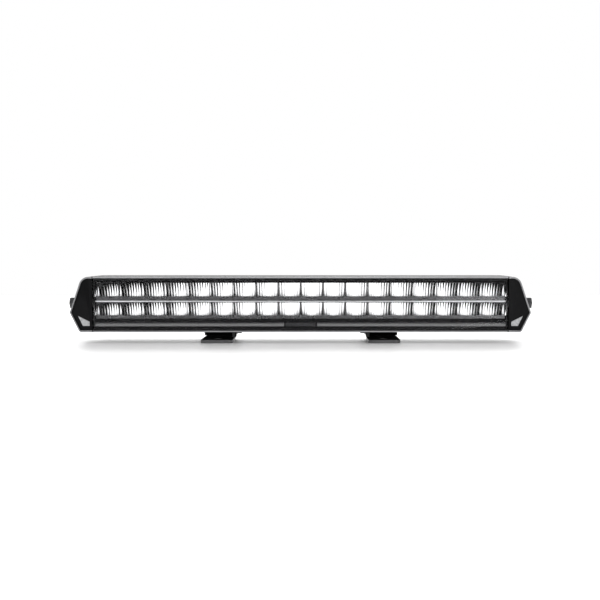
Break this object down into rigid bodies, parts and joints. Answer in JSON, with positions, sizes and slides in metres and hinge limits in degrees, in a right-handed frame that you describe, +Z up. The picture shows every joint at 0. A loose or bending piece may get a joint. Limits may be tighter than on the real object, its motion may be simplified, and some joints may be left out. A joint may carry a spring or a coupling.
{
  "type": "led light bar",
  "caption": "Long double-row LED light bar in a finned black housing with angular end caps, frosted position-light strips, and short feet that slide and tilt below.",
  "frame": {"origin": "on the ground under the middle of the bar, in the plane of the feet's undersides", "axes": "+X along the bar, the light shines towards -Y, +Z up"},
  "size_m": [0.5718, 0.075, 0.0802],
  "materials": {
    "housing_black": "satin black powder coat on extruded aluminium",
    "cap_black": "matte black powder coat on die-cast aluminium",
    "lens_clear": "clear hard-coated polycarbonate",
    "bezel_black": "fine-textured black ABS",
    "badge_black": "blank gloss black plate",
    "rubber_black": "matte black silicone rubber",
    "mirror_chrome": "vacuum-metallised mirror",
    "tray_aluminium": "milled bare aluminium",
    "board_black": "black solder mask",
    "led_yellow": "phosphor under a clear dome",
    "guide_frost": "frosted light guide",
    "bracket_black": "black powder coat on steel",
    "carriage_black": "black powder coat on die-cast aluminium",
    "bolt_black": "black zinc-nickel plated steel",
    "steel_zinc": "bright zinc-plated steel",
    "gland_black": "moulded black nylon",
    "pad_grey": "soft grey gap pad",
    "driver_green": "green solder mask",
    "coil_dark": "dark ferrite",
    "capacitor_can": "aluminium can",
    "standoff_brass": "plain brass"
  },
  "bodies": {
    "bar": {"housing_extrusion": "housing_black", "end_cap_left": "cap_black", "end_cap_right": "cap_black", "end_gasket_left": "rubber_black", "end_gasket_right": "rubber_black", "end_cap_screws": "bolt_black", "front_lens": "lens_clear", "lens_seal": "rubber_black", "front_bezel": "bezel_black", "badge_plate": "badge_black", "light_guide_left": "guide_frost", "light_guide_right": "guide_frost", "position_led_board": "board_black", "position_leds": "led_yellow", "corner_light_left": "guide_frost", "corner_light_right": "guide_frost", "corner_led_boards": "board_black", "tray_screws": "steel_zinc", "thermal_pads": "pad_grey", "driver_board": "driver_green", "driver_standoffs": "standoff_brass", "driver_inductors": "coil_dark", "driver_capacitors": "capacitor_can", "cable_gland_body": "gland_black", "cable_gland_seal": "rubber_black", "cable_gland_nut": "gland_black", "vent_plug": "gland_black", "side_bolts": "bolt_black", "side_washers": "bolt_black", "led_tray_upper": "tray_aluminium", "led_board_upper": "board_black", "leds_upper": "led_yellow", "reflector_upper_1": "mirror_chrome", "reflector_upper_2": "mirror_chrome", "reflector_upper_3": "mirror_chrome", "reflector_upper_4": "mirror_chrome", "reflector_upper_5": "mirror_chrome", "reflector_upper_6": "mirror_chrome", "led_tray_lower": "tray_aluminium", "led_board_lower": "board_black", "leds_lower": "led_yellow", "reflector_lower_1": "mirror_chrome", "reflector_lower_2": "mirror_chrome", "reflector_lower_3": "mirror_chrome", "reflector_lower_4": "mirror_chrome", "reflector_lower_5": "mirror_chrome", "reflector_lower_6": "mirror_chrome"},
    "left_carriage": {"carriage_left": "carriage_black", "slot_nuts_left": "steel_zinc", "carriage_screws_left": "bolt_black", "tilt_bolt_left": "bolt_black", "tilt_washer_left": "bolt_black"},
    "left_foot": {"foot_left": "bracket_black"},
    "right_carriage": {"carriage_right": "carriage_black", "slot_nuts_right": "steel_zinc", "carriage_screws_right": "bolt_black", "tilt_bolt_right": "bolt_black", "tilt_washer_right": "bolt_black"},
    "right_foot": {"foot_right": "bracket_black"}
  },
  "joints": [
    {"name": "left_slide", "type": "slide", "parent": "bar", "child": "left_carriage", "axis": [1, 0, 0], "range_m": [-0.115, 0.07]},
    {"name": "left_tilt", "type": "hinge", "parent": "left_carriage", "child": "left_foot", "pos_m": [-0.1012, 0.0125, 0.0145], "axis": [1, 0, 0], "range_deg": [-10, 45]},
    {"name": "right_slide", "type": "slide", "parent": "bar", "child": "right_carriage", "axis": [1, 0, 0], "range_m": [-0.07, 0.115]},
    {"name": "right_tilt", "type": "hinge", "parent": "right_carriage", "child": "right_foot", "pos_m": [0.1012, 0.0125, 0.0145], "axis": [1, 0, 0], "range_deg": [-10, 45]}
  ]
}
